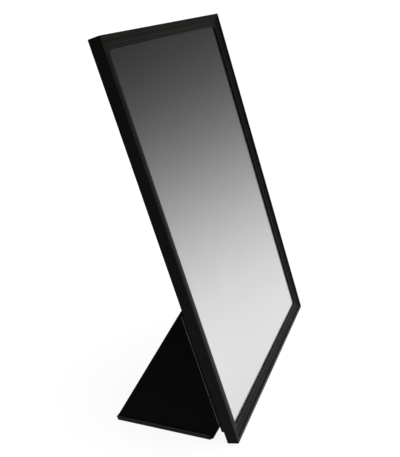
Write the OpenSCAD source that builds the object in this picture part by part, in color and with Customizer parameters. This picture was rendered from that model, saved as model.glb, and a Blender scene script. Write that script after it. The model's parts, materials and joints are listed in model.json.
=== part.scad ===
// Free-standing countertop mirror: a moulded frame with a stepped face holds a
// second-surface mirror, and two sheet-steel wings fold out of its back on long
// pin hinges to stand it up. Millimetres, +Z up, front towards -Y, origin on the
// counter under the middle of the whole object.

/* [Frame] */
// Width of the frame over its outer faces
frame_w = 250; // [200:1:320]
// Height of the frame along its leaning back
frame_h = 356; // [300:1:460]
// Thickness of the frame from its front ridge to its back face
frame_t = 11.1; // [10.4:0.1:12]
// Angle that the open mirror leans back from upright
lean = 14.5; // [12:0.1:18]
// Width of the frame's face, from its outer side to the glass opening
face_w = 12; // [11.5:0.5:16]
// Width of the raised ridge along the outer edge
ridge_w = 3.4; // [2.8:0.1:4]
// Width of the outward slope on the ridge's front
crown_w = 1.5; // [1:0.1:2.4]
// Depth of that slope
crown_d = 0.25; // [0.1:0.05:0.8]
// Depth of the step behind the ridge
step_d = 1.4; // [1:0.1:1.6]
// Where the second inner band begins, from the outer side
band_w = 7.4; // [6:0.1:8]
// Depth that each inner band falls towards the glass
band_fall = 0.6; // [0.3:0.1:0.7]
// Depth of the step between the two inner bands
band_step = 0.6; // [0.3:0.1:0.7]
// Radius of the frame's outer corners
corner_r = 0.8; // [0.5:0.1:3]
// Radius of the opening's corners
opening_r = 4; // [1:0.5:6]
// Chamfer along the outer back edge
edge_c = 0.6; // [0.3:0.1:0.8]

/* [Mirror and back] */
// Depth of the glass's front face behind the ridge
glass_d = 4.2; // [4:0.1:4.6]
// Thickness of the glass
glass_t = 2; // [1.8:0.1:2.2]
// Thickness of the foam sheet behind the glass
foam_t = 1.6; // [1.4:0.1:1.8]
// Rail width beside the glass
glass_rabbet = 7.5; // [7:0.1:8.5]
// Rail width beside the back panel
panel_rabbet = 3.2; // [2.8:0.1:3.6]
// Back panel screws in each of the top and bottom rows
row_screws = 3; // [2:1:5]

/* [Wings] */
// Thickness of the wings' steel sheet
wing_t = 1.5; // [1.2:0.1:1.8]
// Gap between the frame's back and the wings' front edges
wing_gap = 2.5; // [2:0.1:3]
// Height up the frame at which the wing's rear edge would meet its back
wing_top = 133.8; // [125:0.1:145]
// Angle of the wing's rear edge from the frame's back
wing_angle = 45.9; // [43:0.1:47]
// Height up the frame at which the wing's lower front corner is cut off
wing_cut = 17; // [16:0.5:19]
// Radius of the wing's foot corners
foot_r = 2; // [1.5:0.5:4]

/* [Hinges] */
// Height up the frame of the hinge's lower end
hinge_low = 10.5; // [10:0.5:13]
// Length of the hinge
hinge_l = 116.5; // [105:0.5:118]
// Knuckles in each hinge, the end ones on the fixed leaf
knuckles = 7; // [5:2:9]
// Radius of the hinge pin
pin_r = 1; // [0.8:0.05:1.1]
// Thickness of both leaves
leaf_t = 1; // [0.8:0.1:1.2]
// Width of the fixed leaf, from the pin inwards
leaf_w = 16; // [14:0.5:24]
// Width of the wing's leaf, from the pin backwards
wing_leaf_w = 14; // [13:0.5:20]
// Rivets in each fixed leaf
rivets = 4; // [3:1:5]

/* [Feet] */
// Wall thickness of the rubber edging under each wing
trim_t = 0.8; // [0.6:0.1:1]
// Height of the rubber edging
trim_h = 4.5; // [3:0.1:5]

/* [Hidden] */
$fn = 48;

eps = 0.01;
fit_gap = 0.5;            // round the glass and the foam
panel_gap = 0.3;          // round the back panel
run_gap = 0.05;           // radial clearance of a turning knuckle on its pin
knuckle_gap = 0.3;        // between one knuckle and the next
knuckle_clear = 0.4;      // round the other leaf's knuckles
hinge_gap = 0.15;         // between a knuckle and the face it turns beside
stop_gap = 0.1;           // between the wing's stop and the frame's back

panel_t = frame_t - glass_d - glass_t - foam_t;
band_d = step_d + band_fall + band_step;     // where the second inner band begins
drop = edge_c * sin(lean);                   // height lost by the chamfered bottom edge

// Hinge axis, in the upright frame: x from the frame's middle, y behind its back
knuckle_r = pin_r + leaf_t;
wing_x = frame_w / 2 - trim_t;               // the wing's outer face
axis_x = wing_x - wing_t - hinge_gap - knuckle_r;
axis_y = knuckle_r + hinge_gap;
pitch = hinge_l / knuckles;
clear_r = knuckle_r + knuckle_clear;
hinge_top = hinge_low + hinge_l;

// Rivets sit in the middle of the leaf's flat part
rivet_x = axis_x - (clear_r + leaf_w) / 2;
rivet_pitch = hinge_l / rivets;
rivet_shank_r = 1.6;
rivet_head_r = 3;
rivet_head_h = 0.9;
rivet_tail_r = 2.3;
rivet_tail_h = 1.1;

// Panel screws run along the ledge between the two rabbets
screw_inset = (panel_rabbet + glass_rabbet) / 2;
screw_r = 1;
screw_head_r = 1.9;
screw_l = 6;
row_x = frame_w / 2 - 30;
side_z = [for (k = [0.45, 0.68, 0.91]) frame_h * k];

// Corners of the wing's foot, before rounding, and the reach of the standing object
cut = [wing_gap, wing_cut];
front_foot = on_floor(cut, [1, -1.17], trim_t);
back_foot = on_floor([0, wing_top], [sin(wing_angle), -cos(wing_angle)], trim_t);
trim_end = [back_foot.x - foot_r, floor_z(back_foot.x - foot_r, trim_h)];
front_y = min(reach([-frame_t, crown_w]), reach([crown_d - frame_t, 0]));
back_y = max(reach([0, frame_h - edge_c]), reach(trim_end),
             max([for (p = wing_outline()) reach(p)]));
mid_y = (front_y + back_y) / 2;

// ---- shared geometry ----

// The upright frame leans back about its lower back edge and stands on z = 0
module stand() translate([0, -mid_y, -drop]) rotate([-lean, 0, 0]) children();

// Children are drawn in (y, z) and become a sheet of thickness t from x inwards
module side_sheet(x, t) translate([x - t, 0, 0]) rotate([90, 0, 90]) linear_extrude(t) children();

// Height in the upright frame of a point y behind the back and h above the counter
function floor_z(y, h = 0) = (y * sin(lean) + drop + h) / cos(lean);

// How far back a point (y, z) of the upright frame comes when the mirror leans
function reach(p) = p.x * cos(lean) + p.y * sin(lean);

// Where the line through a (towards direction d) meets the line h above the counter
function on_floor(a, d, h) =
    let (k = (floor_z(a.x, h) - a.y) / (d.y - d.x * tan(lean))) a + k * d;

// A strip from y0 to y1 behind the back, between heights h0 and h1 above the counter
function floor_strip(y0, y1, h0, h1) =
    [[y0, floor_z(y0, h0)], [y1, floor_z(y1, h0)], [y1, floor_z(y1, h1)], [y0, floor_z(y0, h1)]];

function unit(v) = v / norm(v);

// The corner b of the path a-b-c, rounded to radius r
function rounded(a, b, c, r, steps = 8) =
    let (u = unit(a - b), w = unit(c - b), half = acos(u * w) / 2,
         o = b + unit(u + w) * r / sin(half),
         s = b + u * r / tan(half) - o, e = b + w * r / tan(half) - o,
         a0 = atan2(s.y, s.x), turn = (atan2(e.y, e.x) - a0 + 540) % 360 - 180)
    [for (i = [0:steps]) o + r * [cos(a0 + turn * i / steps), sin(a0 + turn * i / steps)]];

// A block of the frame's plan, inset from its outer sides, from depth d0 to d1
module plan_block(inset, d0, d1, r = 0) {
    w = frame_w - 2 * inset;
    h = frame_h - 2 * inset;
    translate([0, d1 - frame_t, frame_h / 2]) rotate([90, 0, 0]) linear_extrude(d1 - d0)
        if (r > 0) {
            square([w - 2 * r, h], center = true);
            square([w, h - 2 * r], center = true);
            for (x = [-1, 1], y = [-1, 1]) translate([x * (w / 2 - r), y * (h / 2 - r)]) circle(r);
        } else {
            square([w, h], center = true);
        }
}

// A rectangular frustum on the frame's axis: inset i0 at depth d0 to inset i1 at depth d1
module plan_taper(i0, d0, i1, d1) {
    y0 = d0 - frame_t;
    y1 = d1 - frame_t;
    intersection() {
        translate([0, 0, -frame_h]) linear_extrude(3 * frame_h)
            polygon([[i0 - frame_w / 2, y0], [frame_w / 2 - i0, y0],
                     [frame_w / 2 - i1, y1], [i1 - frame_w / 2, y1]]);
        translate([-frame_w, 0, 0]) rotate([90, 0, 90]) linear_extrude(2 * frame_w)
            polygon([[y0, i0], [y0, frame_h - i0], [y1, frame_h - i1], [y1, i1]]);
    }
}

module each_panel_screw() {
    for (k = [0:row_screws - 1], z = [screw_inset, frame_h - screw_inset])
        translate([-row_x + 2 * row_x * k / (row_screws - 1), 0, z]) rotate([90, 0, 0]) children();
    for (x = [-1, 1], z = side_z)
        translate([x * (frame_w / 2 - screw_inset), 0, z]) rotate([90, 0, 0]) children();
}

// Rivet positions on the right-hand leaf, drawn along -y (into the frame)
module each_rivet() {
    for (k = [0:rivets - 1])
        translate([rivet_x, 0, hinge_low + rivet_pitch * (k + 0.5)]) rotate([90, 0, 0]) children();
}

// A hinge knuckle of radius r from height z0 to z1
module knuckle(z0, z1, r) translate([axis_x, axis_y, z0]) cylinder(h = z1 - z0, r = r);

// Knuckle k's span, shortened by gap / 2 at each end
function span(k, gap = 0) =
    [hinge_low + k * pitch + gap / 2, hinge_low + (k + 1) * pitch - gap / 2];

// ---- mirror head ----

module frame() {
    color("#1b1c1a") stand() difference() {
        intersection() {
            plan_block(0, 0, frame_t, corner_r);
            plan_taper(crown_w, 0, crown_w - frame_t * crown_w / crown_d, frame_t);
            plan_taper(-frame_t + edge_c, 0, edge_c, frame_t);
        }
        plan_block(ridge_w, -1, step_d, opening_r / 2);
        plan_taper(ridge_w, step_d - eps, band_w, step_d + band_fall);
        plan_block(band_w, -1, band_d, opening_r / 2);
        plan_taper(band_w, band_d - eps, face_w, band_d + band_fall);
        plan_block(face_w, -1, frame_t, opening_r);
        plan_block(glass_rabbet, glass_d, frame_t + 1);
        plan_block(panel_rabbet, frame_t - panel_t, frame_t + 1);
        each_panel_screw() cylinder(h = screw_l, r = screw_r);
    }
}

module mirror_glass() {
    color("#9fa3a6") stand()
        plan_block(glass_rabbet + fit_gap, glass_d, glass_d + glass_t, opening_r / 2);
}

module foam_sheet() {
    d0 = glass_d + glass_t;
    color("#d9d9d4") stand() difference() {
        plan_block(glass_rabbet + fit_gap, d0, d0 + foam_t);
        for (x = [0, 1]) mirror([x, 0, 0]) each_rivet()
            cylinder(h = frame_t, r = rivet_tail_r + fit_gap);
    }
}

module back_panel() {
    color("#3a2d22") stand() difference() {
        plan_block(panel_rabbet + panel_gap, frame_t - panel_t, frame_t);
        each_panel_screw() {
            cylinder(h = screw_l, r = screw_r);
            cylinder(h = screw_head_r - screw_r, r1 = screw_head_r, r2 = screw_r);
        }
        for (x = [0, 1]) mirror([x, 0, 0]) each_rivet()
            translate([0, 0, -eps]) cylinder(h = frame_t, r = rivet_shank_r);
    }
}

module panel_screws() {
    color("#2a2a2a") stand() each_panel_screw() {
        cylinder(h = screw_l, r = screw_r);
        cylinder(h = screw_head_r - screw_r, r1 = screw_head_r, r2 = screw_r);
    }
}

// ---- hinges and wings, drawn on the right and mirrored to the left ----

module hinge_leaf() {
    corner = 2;
    inner_x = axis_x - leaf_w;
    stand() difference() {
        union() {
            rotate([90, 0, 0]) mirror([0, 0, 1]) linear_extrude(leaf_t) difference() {
                polygon(concat(
                    [[axis_x, hinge_low], [axis_x, hinge_top]],
                    rounded([axis_x, hinge_top], [inner_x, hinge_top], [inner_x, hinge_low], corner),
                    rounded([inner_x, hinge_top], [inner_x, hinge_low], [axis_x, hinge_low], corner)));
                for (k = [1:2:knuckles - 2])
                    translate([axis_x - clear_r, span(k)[0]]) square([2 * clear_r, pitch]);
            }
            for (k = [0:2:knuckles - 1]) knuckle(span(k)[0], span(k)[1], knuckle_r);
        }
        knuckle(hinge_low - 1, hinge_top + 1, pin_r);
        each_rivet() translate([0, 0, -frame_t]) cylinder(h = 2 * frame_t, r = rivet_shank_r);
    }
}

module leaf_rivets() {
    stand() each_rivet() {
        translate([0, 0, -leaf_t]) cylinder(h = leaf_t + panel_t, r = rivet_shank_r);
        translate([0, 0, panel_t]) cylinder(h = rivet_tail_h, r = rivet_tail_r);
        translate([0, 0, -leaf_t - rivet_head_h])
            cylinder(h = rivet_head_h, r1 = rivet_head_r - rivet_head_h, r2 = rivet_head_r);
    }
}

module hinge_pin() stand() knuckle(hinge_low, hinge_top, pin_r);

// The hinge's turning leaf, spot-welded to the wing's inner face; its front lower and
// rear upper corners are cut along the wing's edges
module wing_leaf() {
    inset = 1.5;
    rear_y = axis_y + wing_leaf_w;
    low_slant = cut.x + cut.y + inset * sqrt(2);
    high_slant = wing_top - inset / sin(wing_angle);
    top_z = hinge_top - 2 * inset;
    stand() difference() {
        union() {
            side_sheet(wing_x - wing_t, leaf_t) difference() {
                polygon(concat(
                    [[axis_y, top_z], [axis_y, low_slant - axis_y], [low_slant - hinge_low, hinge_low]],
                    rounded([axis_y, hinge_low], [rear_y, hinge_low], [rear_y, hinge_top], 2),
                    [[rear_y, high_slant - rear_y / tan(wing_angle)],
                     [(high_slant - top_z) * tan(wing_angle), top_z]]));
                for (k = [0:2:knuckles - 1])
                    translate([0, span(k)[0] - knuckle_gap / 2])
                        square([axis_y + clear_r, pitch + knuckle_gap]);
            }
            for (k = [1:2:knuckles - 2])
                knuckle(span(k, knuckle_gap)[0], span(k, knuckle_gap)[1], knuckle_r);
        }
        knuckle(hinge_low - 1, hinge_top + 1, pin_r + run_gap);
    }
}

// The wing in (y, z): a triangle on its foot, with a tab at the top that stops against the
// frame's back when the wing is open
function wing_outline() =
    let (slope = [sin(wing_angle), -cos(wing_angle)],
         tip_z = hinge_top + 5.5,
         tip = [(wing_top - tip_z) * tan(wing_angle), tip_z],
         tab = [stop_gap, tip_z],
         tab_low = hinge_top + 0.5)
    concat([[wing_gap, tab_low], cut],
           rounded(cut, front_foot, back_foot, foot_r),
           rounded(front_foot, back_foot, tip, foot_r),
           [tip], rounded(tip, tab, [stop_gap, 0], 1),
           [[stop_gap, tab_low]]);

module wing() stand() side_sheet(wing_x, wing_t) polygon(wing_outline());

// A U-shaped rubber strip pushed on to the wing's bottom edge
module foot_edging() {
    stand() difference() {
        side_sheet(wing_x + trim_t, wing_t + 2 * trim_t)
            polygon(floor_strip(front_foot.x + foot_r, trim_end.x, 0, trim_h));
        side_sheet(wing_x, wing_t) polygon(floor_strip(front_foot.x, back_foot.x, trim_t, trim_h + 1));
    }
}

module left_side() mirror([1, 0, 0]) children();

module left_hinge_leaf() color("#151515") left_side() hinge_leaf();
module left_leaf_rivets() color("#8a8d90") left_side() leaf_rivets();
module left_hinge_pin() color("#6f7376") left_side() hinge_pin();
module left_wing_leaf() color("#151515") left_side() wing_leaf();
module left_wing() color("#101112") left_side() wing();
module left_foot_edging() color("#20201f") left_side() foot_edging();
module right_hinge_leaf() color("#151515") hinge_leaf();
module right_leaf_rivets() color("#8a8d90") leaf_rivets();
module right_hinge_pin() color("#6f7376") hinge_pin();
module right_wing_leaf() color("#151515") wing_leaf();
module right_wing() color("#101112") wing();
module right_foot_edging() color("#20201f") foot_edging();

frame();
mirror_glass();
foam_sheet();
back_panel();
panel_screws();
left_hinge_leaf();
left_leaf_rivets();
left_hinge_pin();
left_wing_leaf();
left_wing();
left_foot_edging();
right_hinge_leaf();
right_leaf_rivets();
right_hinge_pin();
right_wing_leaf();
right_wing();
right_foot_edging();
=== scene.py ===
"""Looks for the countertop mirror: moulded black frame, back-silvered glass, steel stand wings.

Lengths are in metres, in the part's own frame: +Z up, the glass faces -Y, the counter is z = 0.
Pieces that lean with the mirror are built upright, in (x, depth behind the ridge, height) from the
frame's lower front edge, and laid into place by LEAN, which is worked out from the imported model.
"""
import json
import math

import bmesh
import bpy
from mathutils import Matrix, Quaternion, Vector


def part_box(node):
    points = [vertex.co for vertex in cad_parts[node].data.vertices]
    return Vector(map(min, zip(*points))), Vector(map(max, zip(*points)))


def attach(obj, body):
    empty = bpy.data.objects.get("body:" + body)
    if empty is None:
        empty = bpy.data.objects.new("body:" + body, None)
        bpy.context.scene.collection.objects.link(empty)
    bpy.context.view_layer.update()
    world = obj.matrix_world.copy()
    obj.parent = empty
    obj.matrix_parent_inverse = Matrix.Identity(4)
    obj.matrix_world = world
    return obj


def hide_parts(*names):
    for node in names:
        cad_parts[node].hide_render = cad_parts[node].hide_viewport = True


MM = 0.001

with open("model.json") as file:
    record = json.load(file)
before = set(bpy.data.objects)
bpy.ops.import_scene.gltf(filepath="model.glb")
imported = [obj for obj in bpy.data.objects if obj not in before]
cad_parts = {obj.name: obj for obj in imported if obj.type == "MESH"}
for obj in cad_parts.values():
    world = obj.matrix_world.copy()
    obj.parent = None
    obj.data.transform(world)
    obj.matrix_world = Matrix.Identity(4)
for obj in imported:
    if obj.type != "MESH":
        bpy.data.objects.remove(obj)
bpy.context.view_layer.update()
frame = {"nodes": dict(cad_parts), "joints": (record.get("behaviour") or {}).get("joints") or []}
cad = frame["nodes"]
scene = bpy.context.scene

# ---- the leaning frame's own axes and size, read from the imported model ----

fold = next(j for j in frame["joints"] if j["name"] == "right_wing_fold")
UP = Vector(fold["axis"]).normalized()
ACROSS = Vector((1, 0, 0))
INTO = UP.cross(ACROSS)  # from the mirror's face towards its back


def extent(node, axis):
    """Lowest and highest reach of a CAD node along a direction."""
    reach = [v.co.dot(axis) for v in cad[node].data.vertices]
    return min(reach), max(reach)


FRONT, BACK = extent("frame", INTO)
FOOT, TOP = extent("frame", UP)
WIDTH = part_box("frame")[1].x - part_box("frame")[0].x
HEIGHT = TOP - FOOT
DEPTH = BACK - FRONT
LEAN = Matrix.Translation(INTO * FRONT + UP * FOOT) @ Matrix((ACROSS, INTO, UP)).transposed().to_4x4()


# ---- materials ----

# Tone of the foot edging from its sole to its lip, as (share of its height, tone); the dark middle band is
# painted shade for a groove, drawn in colour rather than in the mesh
EDGING_TONES_WITH_GROOVE_SHADE = ((0.0, 0.8), (0.30, 0.8), (0.38, 0.04), (0.76, 0.04), (0.84, 0.8), (1.0, 0.8))


def set_greys(ramp, stops):
    """Gives a colour ramp its greys, as (position, tone) in rising order."""
    while len(ramp.elements) < len(stops):
        ramp.elements.new(0.5)
    for element, (position, tone) in zip(ramp.elements, stops):
        element.position, element.color = position, (tone, tone, tone, 1)


class Surface:
    """A Principled material with helpers for procedural colour, roughness and bump."""

    def __init__(self, name, **constants):
        self.material = bpy.data.materials.new(name)
        self.material.use_nodes = True
        self.tree = self.material.node_tree
        self.shader = self.tree.nodes["Principled BSDF"]
        for socket, value in constants.items():
            self.shader.inputs[socket.replace("_", " ")].default_value = value
        self.coords = self.add("ShaderNodeTexCoord").outputs["Object"]
        self.height = None

    def add(self, kind, **settings):
        node = self.tree.nodes.new(kind)
        for name, value in settings.items():
            setattr(node, name, value)
        return node

    def link(self, source, target):
        self.tree.links.new(source, target)

    def noise(self, size, detail=3.0, stretch=(1, 1, 1)):
        """Noise whose features are about `size` metres, drawn out by the stretch factors."""
        mapping = self.add("ShaderNodeMapping")
        mapping.inputs["Scale"].default_value = [1 / (size * s) for s in stretch]
        texture = self.add("ShaderNodeTexNoise")
        texture.inputs["Scale"].default_value = 1
        texture.inputs["Detail"].default_value = detail
        self.link(self.coords, mapping.inputs["Vector"])
        self.link(mapping.outputs["Vector"], texture.inputs["Vector"])
        return texture.outputs["Fac"]

    def ramp(self, factor, low, high, start=0.3, end=0.7):
        """A colour ramp from low to high; plain numbers give greys."""
        node = self.add("ShaderNodeValToRGB")
        for element, position, value in zip(node.color_ramp.elements, (start, end), (low, high)):
            element.position = position
            element.color = (*value, 1) if isinstance(value, tuple) else (value, value, value, 1)
        self.link(factor, node.inputs["Fac"])
        return node.outputs["Color"]

    def profile(self, value, span, stops):
        """Greys given at (share of span, tone) stops, read along a length."""
        share = self.add("ShaderNodeMapRange")
        share.inputs["From Max"].default_value = span
        self.link(value, share.inputs["Value"])
        node = self.add("ShaderNodeValToRGB")
        set_greys(node.color_ramp, stops)
        self.link(share.outputs["Result"], node.inputs["Fac"])
        return node.outputs["Color"]

    def colour(self, factor, low, high, **ramp):
        self.link(self.ramp(factor, low, high, **ramp), self.shader.inputs["Base Color"])
        return self

    def roughness(self, factor, low, high, **ramp):
        self.link(self.ramp(factor, low, high, **ramp), self.shader.inputs["Roughness"])
        return self

    def bump(self, factor, depth, strength=1.0):
        """Adds relief of about `depth` metres on top of what is there."""
        node = self.add("ShaderNodeBump")
        node.inputs["Strength"].default_value = strength
        node.inputs["Distance"].default_value = depth
        self.link(factor, node.inputs["Height"])
        if self.height is not None:
            self.link(self.height, node.inputs["Normal"])
        self.height = node.outputs["Normal"]
        self.link(self.height, self.shader.inputs["Normal"])
        return self


def moulded_plastic():
    """Satin black moulding: fine spark texture, a faint olive cast, slow variation in gloss."""
    s = Surface("moulded_black", Specular_IOR_Level=0.14)
    s.colour(s.noise(30 * MM), (0.0076, 0.0082, 0.0066), (0.0108, 0.0115, 0.0094))
    s.roughness(s.noise(9 * MM, 4), 0.36, 0.44)
    s.bump(s.noise(0.7 * MM, 2), 0.02 * MM).bump(s.noise(14 * MM, 1), 0.05 * MM)
    return s.material


def powder_coat(name, tone, gloss, level=0.10):
    """Black powder coat on steel: shallow orange peel and a little dust in the colour."""
    s = Surface(name, Specular_IOR_Level=level)
    s.colour(s.noise(18 * MM, 5), tuple(0.8 * c for c in tone), tuple(1.2 * c for c in tone))
    s.roughness(s.noise(6 * MM, 4), gloss, gloss + 0.1)
    s.bump(s.noise(1.1 * MM, 2), 0.03 * MM)
    return s.material


def rubber(height):
    """Dusty rubber edging; a dark band of painted shade stands for a groove between its lip and its sole."""
    s = Surface("black_rubber", Specular_IOR_Level=0.35)
    parts = s.add("ShaderNodeSeparateXYZ")
    s.link(s.coords, parts.inputs[0])
    # The dark middle band is painted groove shade, drawn in colour rather than in the mesh
    painted_groove_shade = s.profile(parts.outputs["Z"], height, EDGING_TONES_WITH_GROOVE_SHADE)
    dust = s.ramp(s.noise(5 * MM, 5), (0.036, 0.036, 0.034), (0.056, 0.056, 0.052))
    product = s.add("ShaderNodeVectorMath", operation="MULTIPLY")
    s.link(dust, product.inputs[0])
    s.link(painted_groove_shade, product.inputs[1])
    s.link(product.outputs["Vector"], s.shader.inputs["Base Color"])
    s.roughness(s.noise(2 * MM, 4), 0.5, 0.7)
    s.bump(s.noise(0.5 * MM, 3), 0.03 * MM)
    return s.material


def hardboard():
    """Black-stained hardboard: pressed fibres, brown where the stain is thin."""
    s = Surface("stained_hardboard", Specular_IOR_Level=0.3)
    fibre = s.noise(1.6 * MM, 6, stretch=(4, 1, 1))
    s.colour(fibre, (0.010, 0.008, 0.007), (0.034, 0.027, 0.021))
    s.roughness(s.noise(12 * MM, 4), 0.55, 0.75)
    s.bump(fibre, 0.04 * MM).bump(s.noise(0.5 * MM, 2), 0.03 * MM)
    return s.material


def steel(name, tone, gloss):
    """Drawn steel: fine lines along the hinge's length."""
    s = Surface(name, Metallic=1.0)
    lines = s.noise(0.6 * MM, 3, stretch=(1, 1, 20))
    s.colour(lines, (0.8 * tone,) * 3, (tone,) * 3)
    s.roughness(lines, gloss, gloss + 0.15)
    s.bump(lines, 0.01 * MM)
    return s.material


def silver():
    """The silvering behind the glass: bright, with the faintest cloudiness."""
    s = Surface("silvering", Metallic=1.0)
    s.colour(s.noise(60 * MM, 3), (0.925, 0.93, 0.925), (0.945, 0.95, 0.945))
    s.roughness(s.noise(25 * MM, 4), 0.0, 0.012)
    return s.material


def clear_glass():
    s = Surface("float_glass", Transmission_Weight=1.0, IOR=1.52)
    s.colour(s.noise(80 * MM, 2), (0.975, 0.985, 0.98), (0.985, 0.995, 0.99))
    s.roughness(s.noise(20 * MM, 5), 0.0, 0.01)
    return s.material


def foam():
    s = Surface("white_foam", Specular_IOR_Level=0.2)
    cells = s.noise(0.8 * MM, 4)
    s.colour(cells, (0.62, 0.62, 0.59), (0.80, 0.80, 0.77))
    s.roughness(cells, 0.8, 0.95)
    s.bump(cells, 0.15 * MM)
    return s.material


# ---- mesh building ----


def piece(name, mesh, material, body, replaces):
    """Turns a bmesh into a smooth-shaded piece that stands for a CAD node."""
    data = bpy.data.meshes.new(name)
    bmesh.ops.recalc_face_normals(mesh, faces=mesh.faces)
    mesh.to_mesh(data)
    mesh.free()
    data.materials.append(material)
    obj = bpy.data.objects.new(name, data)
    scene.collection.objects.link(obj)
    for polygon in data.polygons:
        polygon.use_smooth = True
    obj.modifiers.new("even_shading", "WEIGHTED_NORMAL").keep_sharp = True
    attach(obj, body)
    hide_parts(replaces)
    return obj


LOOKS_FORWARD = -0.25  # a face's normal along INTO, at most, when it counts as facing the front


def wear_and_highlight_faces(mesh, lowest, highest):
    """Gives the second material, a lighter coat that paints a highlight along with wear, to the faces that
    look forward, between two heights up the frame.
    """
    for face in mesh.faces:
        if face.normal.dot(INTO) < LOOKS_FORWARD and lowest < face.calc_center_median().dot(UP) < highest:
            face.material_index = 1
    return mesh


def crease(mesh, angle=math.radians(40)):
    """Marks the folds that stay hard when the piece is shaded smooth."""
    for edge in mesh.edges:
        edge.smooth = len(edge.link_faces) < 2 or edge.calc_face_angle(0) < angle


SAME_POINT = 0.002 * MM
NEARLY_FLAT = math.radians(0.5)


def eased(node, width, segments=2, angle=math.radians(30)):
    """A copy of a CAD node's mesh with its sharp edges broken by a small round."""
    mesh = bmesh.new()
    mesh.from_mesh(cad[node].data)
    bmesh.ops.remove_doubles(mesh, verts=mesh.verts, dist=SAME_POINT)
    bmesh.ops.dissolve_limit(mesh, angle_limit=NEARLY_FLAT, verts=mesh.verts, edges=mesh.edges)
    sharp = [e for e in mesh.edges if len(e.link_faces) == 2 and e.calc_face_angle(0) > angle]
    bmesh.ops.bevel(mesh, geom=sharp, offset=width, segments=segments, profile=0.5,
                    affect="EDGES", clamp_overlap=True)
    crease(mesh)
    return mesh


def fillet(section, steps=4):
    """Rounds a closed outline of (u, v, radius) corners into a list of (u, v) points."""
    points = []
    for i, (u, v, radius) in enumerate(section):
        here = Vector((u, v))
        before = Vector(section[i - 1][:2]) - here
        after = Vector(section[(i + 1) % len(section)][:2]) - here
        if radius == 0:
            points.append(here)
            continue
        half = before.angle(after) / 2
        reach = radius / math.tan(half)
        start, end = here + before.normalized() * reach, here + after.normalized() * reach
        centre = here + (before.normalized() + after.normalized()).normalized() * radius / math.sin(half)
        turn = (start - centre).angle_signed(end - centre)
        for k in range(steps + 1):
            points.append(centre + Matrix.Rotation(-turn * k / steps, 2) @ (start - centre))
    return points


def plan_loop(inset, radius, steps=6):
    """Points (x, height) round the frame's plan, inset from its sides, with rounded corners."""
    half_w, half_h = WIDTH / 2 - inset, HEIGHT / 2 - inset
    points = []
    for quarter, (sx, sy) in enumerate(((1, 1), (-1, 1), (-1, -1), (1, -1))):
        for k in range(steps + 1):
            a = math.radians(90 * (quarter + k / steps))
            points.append((sx * (half_w - radius) + radius * math.cos(a),
                           HEIGHT / 2 + sy * (half_h - radius) + radius * math.sin(a)))
    return points


def plan_ring(mesh, inset, depth, radius):
    """Adds the vertices of one plan loop at a depth behind the ridge."""
    return [mesh.verts.new(LEAN @ Vector((x, depth, z))) for x, z in plan_loop(inset, radius)]


def bridge(mesh, pairs):
    """Joins each pair of rings by a strip of quads."""
    for ring, following in pairs:
        for i in range(len(ring)):
            j = (i + 1) % len(ring)
            mesh.faces.new((ring[i], ring[j], following[j], following[i]))


def swept_frame(section, corner_radius):
    """Sweeps a closed rail section of (inset, depth) points round the frame's plan."""
    mesh = bmesh.new()
    rings = [plan_ring(mesh, inset, depth, corner_radius(inset)) for inset, depth in section]
    bridge(mesh, zip(rings, rings[1:] + rings[:1]))
    return mesh


def slab(inset, front, back, radius, ease):
    """A flat sheet on the frame's plan with rounded corners and eased edges."""
    mesh = bmesh.new()
    rings = [plan_ring(mesh, inset + extra, depth, radius - extra)
             for extra, depth in ((ease, front), (0, front + ease), (0, back - ease), (ease, back))]
    bridge(mesh, zip(rings, rings[1:]))
    mesh.faces.new(rings[0])
    mesh.faces.new(list(reversed(rings[-1])))
    crease(mesh)
    return mesh


# ---- the frame: a swept section with ridge, two stepped bands and a chamfered lip ----

glass_front = extent("mirror_glass", INTO)[0] - FRONT
glass_back = extent("mirror_glass", INTO)[1] - FRONT
glass_inset = WIDTH / 2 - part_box("mirror_glass")[1].x
panel_front = extent("back_panel", INTO)[0] - FRONT
panel_inset = WIDTH / 2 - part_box("back_panel")[1].x

# Widths are measured inwards from the frame's side, depths back from its ridge
RIDGE = 3.4 * MM  # the raised outer ridge ends here
CROWN, CROWN_FALL = 3 * MM, 0.35 * MM  # the ridge's slope to the outside: its width and its depth
BAND, FACE = 7.4 * MM, 12 * MM  # where the first band ends, and the whole face
STEP, FALL = 1.4 * MM, 0.6 * MM  # the step inside the ridge, and each band's fall to the glass
SECOND_BAND = STEP + 2 * FALL
LIP = 0.8 * MM  # chamfer at the opening
REBATE_GAP, PANEL_GAP = 0.5 * MM, 0.3 * MM  # play round the glass and round the back panel
rebate, panel_seat = glass_inset - REBATE_GAP, panel_inset - PANEL_GAP
rail_section = fillet([
    (0, DEPTH, 0.7 * MM), (0, CROWN_FALL, 0.3 * MM), (CROWN, 0, 0.3 * MM),
    (RIDGE, 0, 0.12 * MM), (RIDGE + 0.12 * MM, STEP, 0.2 * MM),
    (BAND, STEP + FALL, 0.2 * MM), (BAND + 0.06 * MM, SECOND_BAND, 0.2 * MM),
    (FACE - LIP, SECOND_BAND + FALL, 0.12 * MM), (FACE, SECOND_BAND + FALL + LIP, 0.12 * MM),
    (FACE, glass_front, 0), (rebate, glass_front, 0), (rebate, panel_front, 0),
    (panel_seat, panel_front, 0), (panel_seat, DEPTH, 0.3 * MM)])


def corner_radius(inset):
    """The outer corners are crisp, the bands' corners rounder, the opening's rounder still."""
    if inset > FACE - 1 * MM:
        return 4 * MM
    return 2 * MM if inset > RIDGE + 0.05 * MM else 0.8 * MM


rail = swept_frame(rail_section, corner_radius)
crease(rail, math.radians(50))
piece("moulded_frame", rail, moulded_plastic(), "mirror_head", "frame")

# ---- glass with its silvering just inside the back face ----

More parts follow.
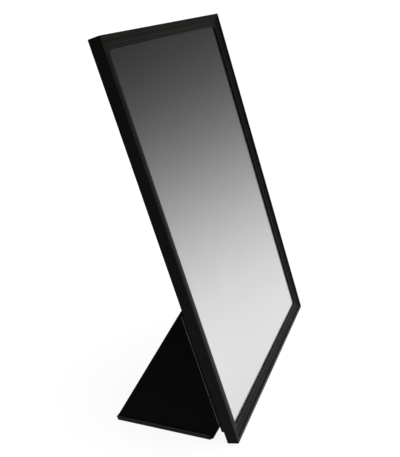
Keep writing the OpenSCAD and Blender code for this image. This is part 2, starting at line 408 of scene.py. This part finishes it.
GLASS_CORNER, GLASS_EASE = 1 * MM, 0.25 * MM
SILVER_MARGIN, SILVER_DEPTH, SILVER_SKIN = 0.3 * MM, 0.1 * MM, 0.02 * MM
pane = slab(glass_inset, glass_front, glass_back - SILVER_SKIN, GLASS_CORNER, GLASS_EASE)
piece("glass_pane", pane, clear_glass(), "mirror_head", "mirror_glass")
backing = slab(glass_inset + SILVER_MARGIN, glass_back - SILVER_DEPTH, glass_back, GLASS_CORNER, SILVER_SKIN)
piece("silvering_sheet", backing, silver(), "mirror_head", "mirror_glass")

# ---- back, hinges and wings ----

coat = powder_coat("powder_coat", (0.0020, 0.0021, 0.0025), 0.42, 0.055)
# Lighter coat for the wing's front edge: a painted highlight for the light along that edge, mixed with bare
# worn metal
edge_wear_and_highlight = powder_coat("edge_wear_and_highlight", (0.34, 0.34, 0.32), 0.45)
hinge_coat = powder_coat("hinge_coat", (0.022, 0.022, 0.021), 0.32)
edge_rubber = rubber(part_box("left_foot_edging")[1].z)
pin_steel = steel("pin_steel", 0.45, 0.3)
dark_screw = steel("blackened_steel", 0.09, 0.35)

piece("board", eased("back_panel", 0.2 * MM), hardboard(), "mirror_head", "back_panel")
for side, body in (("left", "left_stand"), ("right", "right_stand")):
    # The wing's forward-looking front edge takes the second material, a painted highlight with wear
    sheet = wear_and_highlight_faces(eased(f"{side}_wing", 0.22 * MM), *extent(f"{side}_hinge_pin", UP))
    wing = piece(f"{side}_wing_sheet", sheet, coat, body, f"{side}_wing")
    wing.data.materials.append(edge_wear_and_highlight)
    piece(f"{side}_edging", eased(f"{side}_foot_edging", 0.3 * MM, 3), edge_rubber, body,
          f"{side}_foot_edging")
    piece(f"{side}_leaf", eased(f"{side}_hinge_leaf", 0.2 * MM), hinge_coat, "mirror_head",
          f"{side}_hinge_leaf")
    piece(f"{side}_turning_leaf", eased(f"{side}_wing_leaf", 0.2 * MM), hinge_coat, body,
          f"{side}_wing_leaf")
    piece(f"{side}_pin", eased(f"{side}_hinge_pin", 0.25 * MM, 3), pin_steel, "mirror_head",
          f"{side}_hinge_pin")
    piece(f"{side}_rivets", eased(f"{side}_leaf_rivets", 0.3 * MM, 3), hinge_coat, "mirror_head",
          f"{side}_leaf_rivets")
piece("screws", eased("panel_screws", 0.15 * MM), dark_screw, "mirror_head", "panel_screws")
cad["foam_sheet"].data.materials.clear()
cad["foam_sheet"].data.materials.append(foam())

# ---- stage: pale floor, soft sun for the floor, a graded room for the reflections ----


def pale_surface(name, tone, emission):
    material = bpy.data.materials.new(name)
    material.use_nodes = True
    shader = material.node_tree.nodes["Principled BSDF"]
    shader.inputs["Base Color"].default_value = (tone, tone, tone, 1)
    shader.inputs["Roughness"].default_value = 0.9
    shader.inputs["Specular IOR Level"].default_value = 0
    shader.inputs["Emission Color"].default_value = (1, 1, 1, 1)
    shader.inputs["Emission Strength"].default_value = emission
    return material


def make_stage():
    """A floor that takes soft shade and a far white room, both left out of every reflection."""
    bpy.ops.mesh.primitive_plane_add(size=60, location=(0, 0, -0.0002))
    floor = bpy.context.object
    floor.name = "floor"
    floor.data.materials.append(pale_surface("pale_floor", 0.12, 0.90))
    floor.visible_glossy = floor.visible_transmission = floor.visible_diffuse = False
    bpy.ops.mesh.primitive_uv_sphere_add(radius=16, segments=32, ring_count=16)
    room = bpy.context.object
    room.name = "white_room"
    room.data.materials.append(pale_surface("white_wall", 0, 1.0))
    room.visible_glossy = room.visible_diffuse = room.visible_shadow = room.visible_transmission = False


SUN_FROM = Vector((0.35, -0.45, 0.82))
SUN_STRENGTH, SUN_SPREAD = 3.9, math.radians(70)


def make_light():
    """A wide sun from the front right, hidden from the gloss and from the mirror."""
    sun = bpy.data.lights.new("soft_sun", "SUN")
    sun.energy = SUN_STRENGTH
    sun.angle = SUN_SPREAD
    lamp = bpy.data.objects.new("soft_sun", sun)
    lamp.rotation_euler = SUN_FROM.to_track_quat("Z", "Y").to_euler()
    lamp.visible_glossy = lamp.visible_transmission = False
    scene.collection.objects.link(lamp)


# The room's brightness follows the rise of a direction: 1 straight up, -1 straight down
ROOM_AXIS = (0.03, 0.05, 1.0)
TABLE_TONE, WALL_TONE = 0.82, 0.02
TABLE_LINE, FALLOFF = -0.35, 0.27  # the rise where the table ends, and how slowly the wall darkens
NEAR_TABLE = ((-0.60, 1.1), (-0.46, 0.80))
CEILING = ((0.40, 0.05), (0.60, 0.70), (0.80, 1.0))
WALL_TOP, WALL_STOPS = 0.16, 12
SIDE_START, SIDE_END, LEFT_SHARE = 0.1, 0.7, 0.36  # the room is dimmer on the left


def wall_tone(rise):
    """A bell curve that falls from the bright table to the dark wall."""
    return WALL_TONE + (TABLE_TONE - WALL_TONE) * math.exp(-((rise - TABLE_LINE) / FALLOFF) ** 2)


def room_tones():
    """(rise, tone) stops from the table in front to the ceiling."""
    rises = [TABLE_LINE + (WALL_TOP - TABLE_LINE) * k / (WALL_STOPS - 1) for k in range(WALL_STOPS)]
    return (*NEAR_TABLE, *((rise, wall_tone(rise)) for rise in rises), *CEILING)


def make_room():
    """Light from the front and right, grading from a bright table to a dark wall, and a soft top."""
    world = bpy.data.worlds.new("room")
    world.use_nodes = True
    scene.world = world
    nodes, links = world.node_tree.nodes, world.node_tree.links
    direction = nodes.new("ShaderNodeTexCoord").outputs["Generated"]
    upward = nodes.new("ShaderNodeVectorMath")
    upward.operation = "DOT_PRODUCT"
    upward.inputs[1].default_value = Vector(ROOM_AXIS).normalized()
    links.new(direction, upward.inputs[0])
    height = nodes.new("ShaderNodeMapRange")
    height.inputs["From Min"].default_value, height.inputs["From Max"].default_value = -1, 1
    links.new(upward.outputs["Value"], height.inputs["Value"])
    grade = nodes.new("ShaderNodeValToRGB")
    set_greys(grade.color_ramp, [((rise + 1) / 2, tone) for rise, tone in room_tones()])
    links.new(height.outputs["Result"], grade.inputs["Fac"])
    parts = nodes.new("ShaderNodeSeparateXYZ")
    links.new(direction, parts.inputs[0])
    sideways = nodes.new("ShaderNodeMapRange")
    sideways.interpolation_type = "SMOOTHSTEP"
    sideways.inputs["From Min"].default_value = SIDE_START
    sideways.inputs["From Max"].default_value = SIDE_END
    sideways.inputs["To Min"].default_value = LEFT_SHARE
    links.new(parts.outputs["X"], sideways.inputs["Value"])
    background = nodes["Background"]
    links.new(grade.outputs["Color"], background.inputs["Color"])
    links.new(sideways.outputs["Result"], background.inputs["Strength"])


make_stage()
make_light()
make_room()
scene.view_settings.view_transform = "Standard"

# ---- camera: low to the left of the mirror, close enough for strong perspective ----

AIM = Vector((-0.0201, 0.0056, 0.1584))
DISTANCE = 0.579
AZIMUTH, ELEVATION, ROLL = math.radians(-67.11), math.radians(21.87), math.radians(-4.12)
SENSOR_WIDTH, FOCAL_LENGTH = 36, 47.2  # millimetres, as Blender's camera takes them

camera = bpy.data.objects.new("camera", bpy.data.cameras.new("camera"))
scene.collection.objects.link(camera)
away = Vector((math.sin(AZIMUTH) * math.cos(ELEVATION), -math.cos(AZIMUTH) * math.cos(ELEVATION),
               math.sin(ELEVATION)))
camera.location = AIM + away * DISTANCE
camera.rotation_euler = (away.to_track_quat("Z", "Y") @ Quaternion((0, 0, 1), ROLL)).to_euler()
camera.data.sensor_width = SENSOR_WIDTH
camera.data.lens = FOCAL_LENGTH
camera.data.clip_start = 0.01
scene.camera = camera
